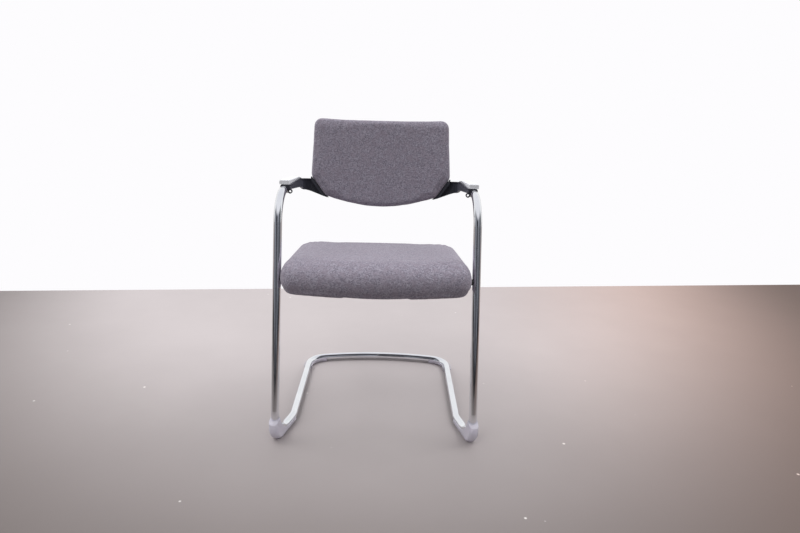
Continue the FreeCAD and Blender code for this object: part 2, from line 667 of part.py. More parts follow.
def back_cushion():
    """Upholstered pad: hollow across the sitter's back, fuller in the middle, with rounded edges."""
    pad = back_prism(0, 0, 0, 0).common(back_cylinder(BACK_SUPPORT_RADIUS, BACK_CUSHION))
    pad = pad.cut(back_cylinder(BACK_FACE_RADIUS, 0))
    broad = sorted(pad.Faces, key=lambda face: face.Area)[-2:]
    pad = pad.makeFillet(BACK_EDGE, [edge for face in broad for edge in face.Edges])
    gap = BOARD_INSET - SOFT_GAP
    board = back_layer(back_prism(gap, gap, gap, gap), BACK_CUSHION - BOARD_THICKNESS - SOFT_GAP,
                       BOARD_THICKNESS + 2 * SOFT_GAP)
    return pad.cut(board)


def support_depth(x, extra):
    """Depth of the curve that lies behind the cushion's back by a distance, at X."""
    radius = BACK_SUPPORT_RADIUS + extra
    return BACK_CUSHION - BACK_SUPPORT_RADIUS + math.sqrt(radius ** 2 - x ** 2)


def wing_screw_places():
    """X and Z of the screws that hold a wing to the board."""
    middle = (BACK_FOOT_HEIGHT + BACK_LOW_HEIGHT) / 2
    return [(side * (WING_INNER + run), middle) for side in (-1, 1)
            for run in (WING_SCREW_NEAR, WING_SCREW_FAR)]


def shell_screw_places():
    half = BACK_TOP_WIDTH / 2 - BOARD_INSET - SHELL_SCREW_INSET
    return [(side * half, z) for side in (-1, 1)
            for z in (BACK_HEIGHT - SHELL_SCREW_DROP, BACK_LOW_HEIGHT + SHELL_SCREW_INSET)]


def back_normal_rod(x, z, near, far, radius):
    """Rod square to the curved board at X and Z, between two distances behind the cushion's back."""
    start = vec(x, support_depth(x, 0), z)
    outward = unit(vec(x, start.y - BACK_CUSHION + BACK_SUPPORT_RADIUS, 0))
    return rod(start + outward * near, start + outward * far, radius)


def back_board():
    """Moulded board inside the cushion."""
    board = back_layer(back_prism(BOARD_INSET, BOARD_INSET, BOARD_INSET, BOARD_INSET),
                       BACK_CUSHION - BOARD_THICKNESS, BOARD_THICKNESS)
    for x, z in wing_screw_places():
        board = board.cut(back_normal_rod(x, z, BEYOND, INSERT_FLOOR - BOARD_THICKNESS, INSERT_RADIUS))
    for x, z in shell_screw_places():
        hole = back_normal_rod(x, z, BEYOND, INSERT_FLOOR - BOARD_THICKNESS, SCREW_RADIUS + SCREW_FIT)
        board = board.cut(hole)
    return board


def back_inserts():
    inserts = []
    for x, z in wing_screw_places():
        bore = back_normal_rod(x, z, BEYOND, -BOARD_THICKNESS, SCREW_RADIUS + INSERT_FIT)
        sleeve = back_normal_rod(x, z, 0, INSERT_FLOOR - BOARD_THICKNESS, INSERT_RADIUS - INSERT_FIT)
        inserts.append(sleeve.cut(bore))
    return Part.makeCompound(inserts)


def back_screw(x, z, seat):
    """Screw whose head lies at a distance behind the cushion's back and whose tip is in the board."""
    start = vec(x, support_depth(x, 0), z)
    outward = unit(vec(x, start.y - BACK_CUSHION + BACK_SUPPORT_RADIUS, 0))
    return screw(start + outward * seat, -outward, seat + BOARD_THICKNESS - SCREW_TIP, SCREW_RADIUS,
                 SCREW_HEAD_RADIUS, SCREW_HEAD_HEIGHT)


def wing_screws():
    seat = (WING_SPACE + WING_WALL) / 2
    return Part.makeCompound([back_screw(x, z, seat) for x, z in wing_screw_places()])


def shell_screws():
    seat = WING_SPACE + SHELL_THICKNESS
    return Part.makeCompound([back_screw(x, z, seat) for x, z in shell_screw_places()])


def back_shell():
    """Rear shell: a curved skin with a rim that closes on the cushion's back and lets the wings out."""
    outline = [SHELL_INSET, -SHELL_EAR, SHELL_INSET, SHELL_INSET]
    inner = [distance + SHELL_THICKNESS for distance in outline]
    shell = back_layer(back_prism(*outline), BACK_CUSHION + SOFT_GAP, WING_SPACE + SHELL_THICKNESS - SOFT_GAP)
    shell = shell.cut(back_layer(back_prism(*inner), BACK_CUSHION - BEYOND, WING_SPACE + BEYOND))
    for x, z in shell_screw_places():
        shell = shell.fuse(back_normal_rod(x, z, SOFT_GAP, WING_SPACE + BEYOND, POST_RADIUS))
        through = WING_SPACE + SHELL_THICKNESS + BEYOND
        hole = back_normal_rod(x, z, -BEYOND, through, SCREW_RADIUS + SCREW_FIT)
        shell = shell.cut(hole)
    shell = placed(shell, back_placement())
    opening = wing_ribbon(WING_EDGE_WIDTH + 2 * SOFT_GAP).fuse(cheek(SOFT_GAP, WING_SPACE / 2))
    opening = opening.common(wing_view(SOFT_GAP, SOFT_GAP))
    return shell.cut(opening).cut(mirrored(opening))


# Arms. The wing is drawn in the back's frame and the rest in the chair's own.

def arm_top(depth):
    """Height of the arm moulding's top face, which carries the pad."""
    return arm_point(depth).z + TUBE_RADIUS + ARM_SKIN


def wing_edges():
    """Plan of the right wing's centre line: back along the arm, round the bend, behind the cushion."""
    wall = TUBE_RADIUS + ARM_FIT + ARM_SIDE / 2
    ends = [back_placement().inverse().multVec(arm_point(depth) - vec(wall, 0, 0))
            for depth in (ARM_FRONT + BEYOND, ARM_END)]
    front, rear = [vec(point.x, point.y, 0) for point in ends]
    along = unit(rear - front)
    inward = vec(-along.y, along.x, 0)
    centre = vec(0, BACK_CUSHION - BACK_SUPPORT_RADIUS, 0)
    radius = BACK_SUPPORT_RADIUS + WING_SPACE / 2
    offset = front + inward * WING_BEND - centre
    back = offset.dot(along)
    step = math.sqrt(back ** 2 - offset.dot(offset) + (radius - WING_BEND) ** 2) - back
    bend = centre + offset + along * step
    touch = centre + unit(bend - centre) * radius
    bend_middle = bend + unit(unit(touch - bend) - inward) * WING_BEND
    inner, middle = [vec(x, support_depth(x, WING_SPACE / 2), 0)
                     for x in (WING_INNER, (WING_INNER + touch.x) / 2)]
    return [Part.makeLine(front, bend - inward * WING_BEND),
            Part.Arc(bend - inward * WING_BEND, bend_middle, touch).toShape(),
            Part.Arc(touch, middle, inner).toShape()]


def wing_ribbon(thickness):
    """Upright band of a thickness along the wing's plan, much taller than the wing, in the chair's frame."""
    edges = wing_edges()
    start = edges[0].valueAt(edges[0].FirstParameter)
    side = unit(edges[0].tangentAt(edges[0].FirstParameter).cross(UP)) * (thickness / 2)
    tall = UP * BACK_HEIGHT
    corners = [start - side, start + side, start + side + tall, start - side + tall]
    section = Part.makePolygon(corners + corners[:1])
    return placed(swept(edges, Part.Face(section)), back_placement())


def wing_top(depth):
    """Height of the wing's top edge, which runs from the arm's end to its own place on the back."""
    start = arm_top(ARM_END) - WING_STEP
    fall = start - BACK_BASE_HEIGHT - WING_INNER_TOP
    return start - fall * (depth - ARM_END) / (BACK_BASE_DEPTH + BACK_CUSHION - ARM_END)


def wing_view(above, below):
    """All that lies between the right wing's top and lower edges, each moved out by a distance."""
    beside = ARM_END + WING_BEND
    inner_foot = BACK_BASE_HEIGHT + WING_INNER_FOOT - below
    outer_foot = wing_top(beside) - WING_OUTER_FOOT - below
    wide = FOOT_HALF_SPAN + 2 * TUBE_OD
    high = BACK_BASE_HEIGHT + BACK_HEIGHT
    foot = BACK_FOOT_WIDTH / 2 + SHELL_EAR / 2
    turn = arm_point(ARM_END).x - TUBE_RADIUS
    front = [vec(WING_INNER - WING_WALL, 0, inner_foot), vec(foot, 0, inner_foot),
             vec(turn, 0, outer_foot), vec(wide, 0, outer_foot)]
    edges = rounded(front, [SHELL_EAR, WING_BEND])
    edges += Part.makePolygon([front[-1], vec(wide, 0, high), vec(front[0].x, 0, high), front[0]]).Edges
    seen_in_front = Part.Face(Part.Wire(edges)).extrude(vec(0, 2 * CROSSBAR_DEPTH, 0))
    end = BACK_BASE_DEPTH + BACK_CUSHION + WING_BEND
    side = [(ARM_FRONT, arm_top(ARM_FRONT) - ARM_SIDE_FRONT - below),
            (ARM_END, arm_top(ARM_END) - ARM_SIDE_REAR - below),
            (beside, outer_foot), (beside + WING_WALL, inner_foot - WING_BEND), (end, inner_foot - WING_BEND),
            (end, wing_top(end) + above), (ARM_END + WING_STEP, wing_top(ARM_END + WING_STEP) + above),
            (ARM_END, arm_top(ARM_END) + above), (ARM_FRONT, arm_top(ARM_FRONT) + above)]
    outline = [vec(0, y, z) for y, z in side + side[:1]]
    seen_from_side = Part.Face(Part.makePolygon(outline)).extrude(vec(wide, 0, 0))
    return seen_in_front.common(seen_from_side)


def cheek(margin, behind):
    """Layer outside the cushion's slanted corners, from its side back to a distance behind the cushion."""
    cushion = back_prism(-SOFT_GAP, -SOFT_GAP, -SOFT_GAP, -SOFT_GAP)
    outside = back_prism(0, -SHELL_EAR - margin, 0, 0).cut(cushion)
    layer = back_layer(outside, BACK_CUSHION - CHEEK_REACH, CHEEK_REACH + behind + margin)
    return placed(layer, back_placement())


def wing():
    """Web with a thickened border, and a cheek that wraps the cushion's slanted corner."""
    view = wing_view(0, 0)
    middle = wing_view(-WING_EDGE_HEIGHT, -WING_EDGE_HEIGHT)
    body = wing_ribbon(WING_WALL).common(view)
    body = body.fuse(wing_ribbon(WING_EDGE_WIDTH).common(view).cut(middle))
    body = body.fuse(cheek(0, WING_SPACE / 2).common(view))
    return body.fuse(cheek(0, 0).common(wing_view(CHEEK_RISE, 0)))


def saddle():
    """Skin over the arm tube, thin over its outer side and with a wall down its inner side."""
    inner = TUBE_RADIUS + ARM_FIT
    outer = inner + ARM_SIDE
    top = TUBE_RADIUS + ARM_SKIN
    start = arm_point(ARM_FRONT)
    skin = [vec(inner + ARM_FIT, 0, ARM_LIP_HEIGHT), vec(TUBE_RADIUS - ARM_SKIN / 2, 0, top),
            vec(-outer, 0, top), vec(-outer, 0, -ARM_SIDE_REAR)]
    channel = [skin[-1], vec(-inner, 0, -ARM_SIDE_REAR), vec(-inner, 0, 0),
               vec(0, 0, ARM_LIP_HEIGHT), skin[0]]
    outline = rounded(skin, [ARM_LIP_CORNER, ARM_SIDE]) + Part.makePolygon(channel).Edges
    section = Part.Face(Part.Wire(outline))
    section.translate(start)
    body = section.extrude(arm_point(ARM_END) - start)
    return body.common(wing_view(SOFT_GAP, 0).fuse(trim_block(start, UP)))


def lug():
    """Ring under the inner side of the arm's front end."""
    start = arm_point(ARM_FRONT)
    length = vec(0, LUG_LENGTH, 0)
    turn = math.radians(LUG_TURN)
    reach = TUBE_RADIUS + ARM_FIT + ARM_SIDE / 2 + LUG_HOLE
    front = start - vec(math.cos(turn), 0, math.sin(turn)) * reach
    band = ring(start, start + length, TUBE_RADIUS + ARM_FIT + ARM_SIDE, TUBE_RADIUS + ARM_FIT)
    height = start.z + TUBE_RADIUS - front.z
    quarter = Part.makeBox(TUBE_OD, LUG_LENGTH, height, vec(start.x - TUBE_OD, start.y, front.z))
    rim = rod(front, front + length, LUG_RADIUS)
    return rim.fuse(band.common(quarter)).cut(rod(front, front + length, LUG_HOLE))


def arm():
    """Right arm in one moulding: saddle, lug and wing."""
    body = wing().fuse(saddle()).fuse(lug())
    tube_end = arm_point(ARM_END + PLUG_CAP + ARM_SIDE)
    body = body.cut(rod(arm_point(ARM_FRONT - TUBE_OD), tube_end, TUBE_RADIUS + ARM_FIT))
    cushion = back_prism(-SOFT_GAP, -SOFT_GAP, -SOFT_GAP, -SOFT_GAP)
    cushion = cushion.common(back_cylinder(BACK_SUPPORT_RADIUS + SOFT_GAP, BACK_CUSHION + SOFT_GAP))
    for x, z in wing_screw_places()[2:]:
        boss = back_normal_rod(x, z, SOFT_GAP, WING_SPACE / 2, POST_RADIUS)
        body = body.fuse(placed(boss, back_placement()))
        hole = back_normal_rod(x, z, 0, WING_SPACE + BEYOND, SCREW_RADIUS + SCREW_FIT)
        body = body.cut(placed(hole, back_placement()))
    body = body.cut(placed(cushion, back_placement()))
    for place in arm_screw_places():
        body = body.cut(rod(place, place + UP * TUBE_OD, SCREW_RADIUS + SCREW_FIT))
    return body


def pad_section(depth, width, height, corner):
    """Arch across the arm on top of the moulding."""
    low = vec(arm_point(depth).x, depth, arm_top(depth) + PAD_FIT)
    half = vec(width / 2, 0, 0)
    points = [low - half, low - half + UP * height, low + half + UP * height, low + half]
    return Part.Wire(rounded(points, [corner, corner]) + [Part.makeLine(points[-1], points[0])])


def arm_pad():
    """Wedge of soft plastic, thick in front, that runs out towards the rear."""
    front = pad_section(ARM_FRONT, PAD_FRONT_WIDTH, PAD_FRONT_HEIGHT, PAD_EDGE)
    rear = pad_section(ARM_END, PAD_REAR_WIDTH, PAD_REAR_HEIGHT, PAD_REAR_HEIGHT / 2)
    pad = Part.makeLoft([front, rear], True, True)
    nose = [edge for edge in pad.Edges if edge.BoundBox.YMax < ARM_FRONT + ARM_FIT
            and edge.CenterOfMass.z > arm_top(ARM_FRONT) + ARM_FIT]
    pad = pad.makeFillet(PAD_NOSE_EDGE, nose)
    bite = TUBE_RADIUS + ARM_SKIN + PAD_SCREW_BITE + HOLE_END
    for place in arm_screw_places():
        pad = pad.cut(rod(place, place + UP * bite, SCREW_RADIUS))
    return pad


def arm_pad_screws():
    length = 2 * TUBE_RADIUS + ARM_SKIN + PAD_SCREW_BITE
    one = [screw(place - UP * TUBE_RADIUS, UP, length, SCREW_RADIUS, SCREW_HEAD_RADIUS, SCREW_HEAD_HEIGHT)
           for place in arm_screw_places()]
    return Part.makeCompound(one + [mirrored(piece) for piece in one])


def pieces():
    """Every piece under its node's name, in the drawing frame."""
    seat = seat_placement()
    back = back_placement()
    found = {
        "crossbar_joint_sleeve": joint_sleeve(),
        "crossbar_weld": joint_weld(),
        "seat_bar": seat_bar(),
        "seat_lock_screws": seat_lock_screws(),
        "seat_rear_bar": placed(seat_rear_bar(), seat),
        "seat_pan": placed(seat_pan(), seat),
        "seat_cushion": placed(seat_cushion(), seat),
        "seat_under_cover": placed(seat_under_cover(), seat),
        "seat_inserts": placed(seat_inserts(), seat),
        "seat_screws": placed(seat_screws(), seat),
        "under_cover_screws": placed(under_cover_screws(), seat),
        "back_board": placed(back_board(), back),
        "back_cushion": placed(back_cushion(), back),
        "back_inserts": placed(back_inserts(), back),
        "back_shell": back_shell(),
        "wing_screws": placed(wing_screws(), back),
        "back_shell_screws": placed(shell_screws(), back),
        "arm_pad_screws": arm_pad_screws(),
    }
    pairs = {"frame_tube": frame_tube, "tube_plug": tube_plug, "front_glide": front_glide,
             "rear_glide": rear_glide, "arm": arm, "arm_pad": arm_pad, "seat_rail": seat_rail}
    for name, make in pairs.items():
        right = make()
        found[name + "_right"] = right
        found[name + "_left"] = mirrored(right)
    return found


def main():
    found = pieces()
    whole = Part.makeCompound(list(found.values())).optimalBoundingBox(False)
    shift = vec(0, -(whole.YMin + whole.YMax) / 2, -whole.ZMin)
    os.makedirs("parts", exist_ok=True)
    for name, shape in sorted(found.items()):
        shape.translate(shift)
        if not shape.isValid() or any(solid.Volume <= 0 for solid in shape.Solids):
            raise ValueError(name + " is not a sound solid")
        shape.exportStep("parts/" + name + ".step")
        print(f"{name:24s} {len(shape.Solids)} solid(s) {shape.Volume / 1000:9.2f} cm3")
    print(f"size {whole.XLength:.1f} x {whole.YLength:.1f} x {whole.ZLength:.1f}")
    print(f"moved by {shift.y:.2f} in Y")


main()
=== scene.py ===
# %% [markdown]
# # A cantilever chair
# This lesson dresses a visitor chair: a bent chromed tube that carries a padded seat, a padded
# back and two moulded arms. The hard pieces come ready, each as its own object in metres, and
# keep their shape. We make the camera, the two cushions, the finishes, the floor and the light.

# %% Load the chair's solid pieces
import math
import bpy
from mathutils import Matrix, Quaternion, Vector


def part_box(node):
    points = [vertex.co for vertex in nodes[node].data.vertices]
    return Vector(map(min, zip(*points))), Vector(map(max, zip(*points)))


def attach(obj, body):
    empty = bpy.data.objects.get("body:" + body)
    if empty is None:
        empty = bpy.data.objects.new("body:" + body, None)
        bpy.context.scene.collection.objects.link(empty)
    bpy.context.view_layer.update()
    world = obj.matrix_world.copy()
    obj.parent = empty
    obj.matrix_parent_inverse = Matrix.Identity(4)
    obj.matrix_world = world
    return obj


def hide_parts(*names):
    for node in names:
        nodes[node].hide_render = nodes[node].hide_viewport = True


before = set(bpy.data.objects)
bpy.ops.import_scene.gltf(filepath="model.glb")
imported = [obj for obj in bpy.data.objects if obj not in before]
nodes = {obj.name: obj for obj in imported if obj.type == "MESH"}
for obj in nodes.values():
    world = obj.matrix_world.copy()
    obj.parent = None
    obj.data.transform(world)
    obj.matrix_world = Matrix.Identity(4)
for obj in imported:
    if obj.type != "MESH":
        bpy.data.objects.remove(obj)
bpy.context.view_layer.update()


# %% Putting something into the scene
def new_object(name, data):
    """An object made of this data, linked into the scene."""
    made = bpy.data.objects.new(name, data)
    bpy.context.scene.collection.objects.link(made)
    return made


# %% [markdown]
# ## The camera
# The photograph was taken by someone who stood in front of the chair with a wide lens, tilted
# down at the seat and not quite level. We could frame the chair by eye, but then its edges would
# meet at the wrong slopes. The eye's place and the three angles were worked out from the chair's
# own straight edges, so the camera is set from those numbers. The lens is given in millimetres
# for a sensor 36 mm wide.

# %% Stand the camera where the photographer stood
EYE = Vector((0.0303, -1.7373, 0.9282))
LOOK_DOWN = math.radians(16.35)
LOOK_RIGHT = math.radians(1.08)
TILT = math.radians(1.53)
SENSOR = 36.0
LENS = 27.99
NEAREST = 0.05

look = Vector((math.sin(LOOK_RIGHT) * math.cos(LOOK_DOWN),
               math.cos(LOOK_RIGHT) * math.cos(LOOK_DOWN),
               -math.sin(LOOK_DOWN)))
camera_data = bpy.data.cameras.new("photo_camera")
camera_data.sensor_fit = "HORIZONTAL"
camera_data.sensor_width = SENSOR
camera_data.lens = LENS
camera_data.clip_start = NEAREST
camera = new_object("photo_camera", camera_data)
camera.location = EYE
camera.rotation_mode = "QUATERNION"
camera.rotation_quaternion = look.to_track_quat("-Z", "Y") @ Quaternion((0, 0, 1), TILT)
bpy.context.scene.camera = camera
print("camera looks along", [round(v, 3) for v in look], "lens", LENS, "mm")

# %% [markdown]
# ## Small helpers for every finish
# A finish is a tree of nodes. Colours are easier to read as the hex codes that a paint chart
# gives, so one function turns a code into the linear numbers that Blender mixes with. Another
# adds one node, sets it up and joins it to what feeds it, which keeps each recipe short.

# %% Colours from hex codes
def colour(code):
    """A hex colour such as #8F8A94 as Blender's linear red, green, blue and alpha."""
    parts = [int(code[start:start + 2], 16) / 255 for start in (1, 3, 5)]
    linear = [part / 12.92 if part <= 0.04045 else ((part + 0.055) / 1.055) ** 2.4
              for part in parts]
    return (*linear, 1.0)


print("the grey #808080 is", round(colour("#808080")[0], 3), "in linear light")


# %% Adding a node
def add(tree, kind, sockets=None, **settings):
    """One new node: its settings, then its sockets, each a value or the socket that feeds it."""
    node = tree.nodes.new("ShaderNode" + kind)
    for name, value in settings.items():
        setattr(node, name, value)
    for key, value in (sockets or {}).items():
        if isinstance(value, bpy.types.NodeSocket):
            tree.links.new(value, node.inputs[key])
        else:
            node.inputs[key].default_value = value
    return node


# %% [markdown]
# A Mix node has one set of sockets for numbers and another for colours, under the same names. So
# they are reached by their places in the node, and the places get names here.

# %% The sockets of a Mix node
FACTOR = 0
FIRST, SECOND, MIXED = 6, 7, 2
FIRST_NUMBER, SECOND_NUMBER, MIXED_NUMBER = 2, 3, 0
print("a Mix node takes its colours at sockets", FIRST, "and", SECOND)


# %% A new finish, with its shader ready
def start_finish(name, **shader_sockets):
    """A material, its tree, its shader and the place on the object in metres."""
    finish = bpy.data.materials.new(name)
    finish.use_nodes = True
    tree = finish.node_tree
    shader = tree.nodes["Principled BSDF"]
    for key, value in shader_sockets.items():
        shader.inputs[key.replace("_", " ")].default_value = value
    place = add(tree, "TexCoord").outputs["Object"]
    return finish, tree, shader, place


# %% The scale of a pattern
def per_mm(size):
    """The scale that makes a pattern repeat about every so many millimetres."""
    return 1000.0 / size


print("a grain of 2 mm has the scale", per_mm(2.0))

# %% [markdown]
# ## Chromium plate
# The frame is mild steel tube, polished and then plated with nickel and chromium. Such a surface
# has almost no colour of its own and mirrors the room. The eye notices where it is not perfect: a
# faint haze from handling, and fine rubbing marks. So the colour and the gloss each wander a
# little.

# %% Chromium plate on steel tube
HAZE = 55.0
RUBBING = 3.0
RUBBING_DEPTH = 0.0002
chromium, tree, shader, place = start_finish("chromium_plate", Metallic=1.0)
haze = add(tree, "TexNoise", {"Vector": place, "Scale": per_mm(HAZE), "Detail": 3.0})
rubbing = add(tree, "TexNoise", {"Vector": place, "Scale": per_mm(RUBBING), "Detail": 4.0})
tint = add(tree, "Mix", {FACTOR: haze.outputs["Fac"], FIRST: colour("#D9DCE1"),
                         SECOND: colour("#F0F1F4")}, data_type="RGBA")
tree.links.new(tint.outputs[MIXED], shader.inputs["Base Color"])
dull = add(tree, "MapRange", {"Value": haze.outputs["Fac"], "From Min": 0.35, "From Max": 0.7,
                              "To Min": 0.05, "To Max": 0.13})
tree.links.new(dull.outputs["Result"], shader.inputs["Roughness"])
marks = add(tree, "Bump", {"Height": rubbing.outputs["Fac"], "Strength": 0.02,
                           "Distance": RUBBING_DEPTH})
tree.links.new(marks.outputs["Normal"], shader.inputs["Normal"])
print("made", chromium.name, "haze", HAZE, "mm")

# %% [markdown]
# ## Clear moulded plastic
# The floor glides are clear polycarbonate, injection moulded, so some of the chrome shows through
# them. New ones are like thick glass with soft edges. Years on a floor scuff them milky, with a
# faint violet cast, so part of the light goes through and the rest is scattered back. Noise in
# the gloss makes the scuffs, and a weak bump bends the light at the surface. Polycarbonate's own
# IOR is 1.58. It is lowered here, because at full strength so small a saddle only mirrors the
# dark room.

# %% Clear polycarbonate
SCUFF = 9.0
SCUFF_DEPTH = 0.0004
polycarbonate, tree, shader, place = start_finish("clear_polycarbonate", IOR=1.35,
                                                  Transmission_Weight=0.4)
scuffs = add(tree, "TexNoise", {"Vector": place, "Scale": per_mm(SCUFF), "Detail": 5.0,
                                "Roughness": 0.65})
milky = add(tree, "Mix", {FACTOR: scuffs.outputs["Fac"], FIRST: colour("#F6F3FC"),
                          SECOND: colour("#E8E4F2")}, data_type="RGBA")
tree.links.new(milky.outputs[MIXED], shader.inputs["Base Color"])
worn = add(tree, "MapRange", {"Value": scuffs.outputs["Fac"], "From Min": 0.35, "From Max": 0.7,
                              "To Min": 0.03, "To Max": 0.12})
tree.links.new(worn.outputs["Result"], shader.inputs["Roughness"])
dents = add(tree, "Bump", {"Height": scuffs.outputs["Fac"], "Strength": 0.06,
                           "Distance": SCUFF_DEPTH})
tree.links.new(dents.outputs["Normal"], shader.inputs["Normal"])
print("made", polycarbonate.name, "scuffs", SCUFF, "mm")

# %% [markdown]
# ## Black moulded plastic
# The arms, the back shell, the pan and cover under the seat and the tubes' plugs are glass-filled
# nylon from moulds whose walls were etched with a fine grain. The grain breaks the reflections
# into a satin gloss, with a faint bluish bloom where the surface turns away, and a little sheen
# gives that. One noise gives the grain, and a slower one the marks of handling.

# %% Grained black nylon
GRAIN = 1.2
GRAIN_DEPTH = 0.0003
HANDLING = 40.0
nylon, tree, shader, place = start_finish("grained_black_nylon", IOR=1.53, Sheen_Weight=0.16,
                                          Sheen_Roughness=0.7)
shader.inputs["Sheen Tint"].default_value = colour("#B9BBCE")
grain = add(tree, "TexNoise", {"Vector": place, "Scale": per_mm(GRAIN), "Detail": 2.0})
handled = add(tree, "TexNoise", {"Vector": place, "Scale": per_mm(HANDLING), "Detail": 4.0})
black = add(tree, "Mix", {FACTOR: handled.outputs["Fac"], FIRST: colour("#24252C"),
                          SECOND: colour("#34353E")}, data_type="RGBA")
tree.links.new(black.outputs[MIXED], shader.inputs["Base Color"])
satin = add(tree, "MapRange", {"Value": handled.outputs["Fac"], "From Min": 0.3, "From Max": 0.7,
                               "To Min": 0.34, "To Max": 0.44})
tree.links.new(satin.outputs["Result"], shader.inputs["Roughness"])
etched = add(tree, "Bump", {"Height": grain.outputs["Fac"], "Strength": 0.05,
                            "Distance": GRAIN_DEPTH})
tree.links.new(etched.outputs["Normal"], shader.inputs["Normal"])
print("made", nylon.name, "grain", GRAIN, "mm")

# %% [markdown]
# ## Near-white arm pads
# The pads are a soft polyurethane skin, cast in a smooth mould. They are nearly white with a cool
# cast, wander a little in tone where hands have rubbed them, and are much less glossy than the
# plate below them.

# %% Cast polyurethane
RUBBED = 60.0
PORE = 1.5
PORE_DEPTH = 0.0003
polyurethane, tree, shader, place = start_finish("cast_polyurethane", IOR=1.5)
rubbed = add(tree, "TexNoise", {"Vector": place, "Scale": per_mm(RUBBED), "Detail": 3.0})
pores = add(tree, "TexNoise", {"Vector": place, "Scale": per_mm(PORE), "Detail": 1.0})
pale = add(tree, "Mix", {FACTOR: rubbed.outputs["Fac"], FIRST: colour("#E4E5EB"),
                         SECOND: colour("#EEEFF3")}, data_type="RGBA")
tree.links.new(pale.outputs[MIXED], shader.inputs["Base Color"])
matt = add(tree, "MapRange", {"Value": rubbed.outputs["Fac"], "From Min": 0.3, "From Max": 0.7,
                              "To Min": 0.42, "To Max": 0.55})
tree.links.new(matt.outputs["Result"], shader.inputs["Roughness"])
skin = add(tree, "Bump", {"Height": pores.outputs["Fac"], "Strength": 0.08,
                          "Distance": PORE_DEPTH})
tree.links.new(skin.outputs["Normal"], shader.inputs["Normal"])
print("made", polyurethane.name, "pores", PORE, "mm")

# %% [markdown]
# ## Powder-coated steel
# The bar and rails that carry the seat are steel with a black powder coat. The powder melts in an
# oven and leaves a skin like orange peel, a few millimetres from bump to bump.

# %% Black powder coat
PEEL = 2.5
PEEL_DEPTH = 0.0004
powder, tree, shader, place = start_finish("black_powder_coat")
peel = add(tree, "TexNoise", {"Vector": place, "Scale": per_mm(PEEL), "Detail": 1.0})
coat = add(tree, "Mix", {FACTOR: peel.outputs["Fac"], FIRST: colour("#141416"),
                         SECOND: colour("#232326")}, data_type="RGBA")
tree.links.new(coat.outputs[MIXED], shader.inputs["Base Color"])
gloss = add(tree, "MapRange", {"Value": peel.outputs["Fac"], "To Min": 0.38, "To Max": 0.52})
tree.links.new(gloss.outputs["Result"], shader.inputs["Roughness"])
skin = add(tree, "Bump", {"Height": peel.outputs["Fac"], "Strength": 0.2, "Distance": PEEL_DEPTH})
tree.links.new(skin.outputs["Normal"], shader.inputs["Normal"])
print("made", powder.name, "orange peel", PEEL, "mm")

# %% [markdown]
# ## Zinc-plated steel
# The screws and the sleeve inside the crossbar are zinc plated: a soft metallic grey with a
# slight blue and yellow bloom that wanders over each head.

# %% Bright zinc plate
BLOOM = 6.0
zinc, tree, shader, place = start_finish("bright_zinc_plate", Metallic=1.0)
bloom = add(tree, "TexNoise", {"Vector": place, "Scale": per_mm(BLOOM), "Detail": 2.0})
bluish = add(tree, "Mix", {FACTOR: bloom.outputs["Fac"], FIRST: colour("#A9AFB8"),
                           SECOND: colour("#C2BFB2")}, data_type="RGBA")
tree.links.new(bluish.outputs[MIXED], shader.inputs["Base Color"])
soft_gloss = add(tree, "MapRange", {"Value": bloom.outputs["Fac"], "To Min": 0.25, "To Max": 0.45})
tree.links.new(soft_gloss.outputs["Result"], shader.inputs["Roughness"])
print("made", zinc.name, "bloom", BLOOM, "mm")

# %% [markdown]
# ## Brass and plywood
# Two finishes hide inside the cushions: brass inserts that take the screws, and the pressed beech
# board that the back's foam is glued to. They are seen only if the chair is taken apart, but they
# are finished all the same. The wood's bands run level, and a finer noise makes its flecks. A
# wave texture's phase runs 20 times as fast as its scale, so the scale is divided by that, and
# GROWTH is the millimetres for each radian of the wave.

# %% Turned brass
TARNISH = 5.0
brass, tree, shader, place = start_finish("turned_brass", Metallic=1.0)
tarnish = add(tree, "TexNoise", {"Vector": place, "Scale": per_mm(TARNISH), "Detail": 2.0})
yellow = add(tree, "Mix", {FACTOR: tarnish.outputs["Fac"], FIRST: colour("#C9A558"),
                           SECOND: colour("#9C7A3C")}, data_type="RGBA")
tree.links.new(yellow.outputs[MIXED], shader.inputs["Base Color"])
lathe = add(tree, "MapRange", {"Value": tarnish.outputs["Fac"], "To Min": 0.22, "To Max": 0.4})
tree.links.new(lathe.outputs["Result"], shader.inputs["Roughness"])
print("made", brass.name, "tarnish", TARNISH, "mm")

# %% Pressed beech plywood
GROWTH = 9.0
WAVE_SPEED = 20.0
FLECK = 2.0
beech, tree, shader, place = start_finish("pressed_beech", IOR=1.5)
growth = add(tree, "TexWave", {"Vector": place, "Scale": per_mm(GROWTH) / WAVE_SPEED,
                               "Distortion": 6.0, "Detail": 3.0}, bands_direction="Z")
fleck = add(tree, "TexNoise", {"Vector": place, "Scale": per_mm(FLECK), "Detail": 2.0})
wood = add(tree, "Mix", {FACTOR: growth.outputs["Fac"], FIRST: colour("#C79A6A"),
                         SECOND: colour("#A97B4E")}, data_type="RGBA")
tree.links.new(wood.outputs[MIXED], shader.inputs["Base Color"])
sanded = add(tree, "MapRange", {"Value": fleck.outputs["Fac"], "To Min": 0.55, "To Max": 0.75})
tree.links.new(sanded.outputs["Result"], shader.inputs["Roughness"])
print("made", beech.name, "fleck", FLECK, "mm")

# %% [markdown]
# ## Upholstery cloth
# The cover is a plain-woven wool mixture. Its yarn was spun from dyed fibres of several greys, so
# each crossing of the weave is a slightly different grey, with a faint mauve cast. A real
# crossing is about 0.9 mm wide, which is finer than the camera can show from two metres, so the
# weave is drawn at 2.6 mm and the cloudy patches at 14 mm. Small cells stand for the crossings:
# they look the same on every side of a cushion and need no flattened map. A little sheen stands
# for the loose fibres.

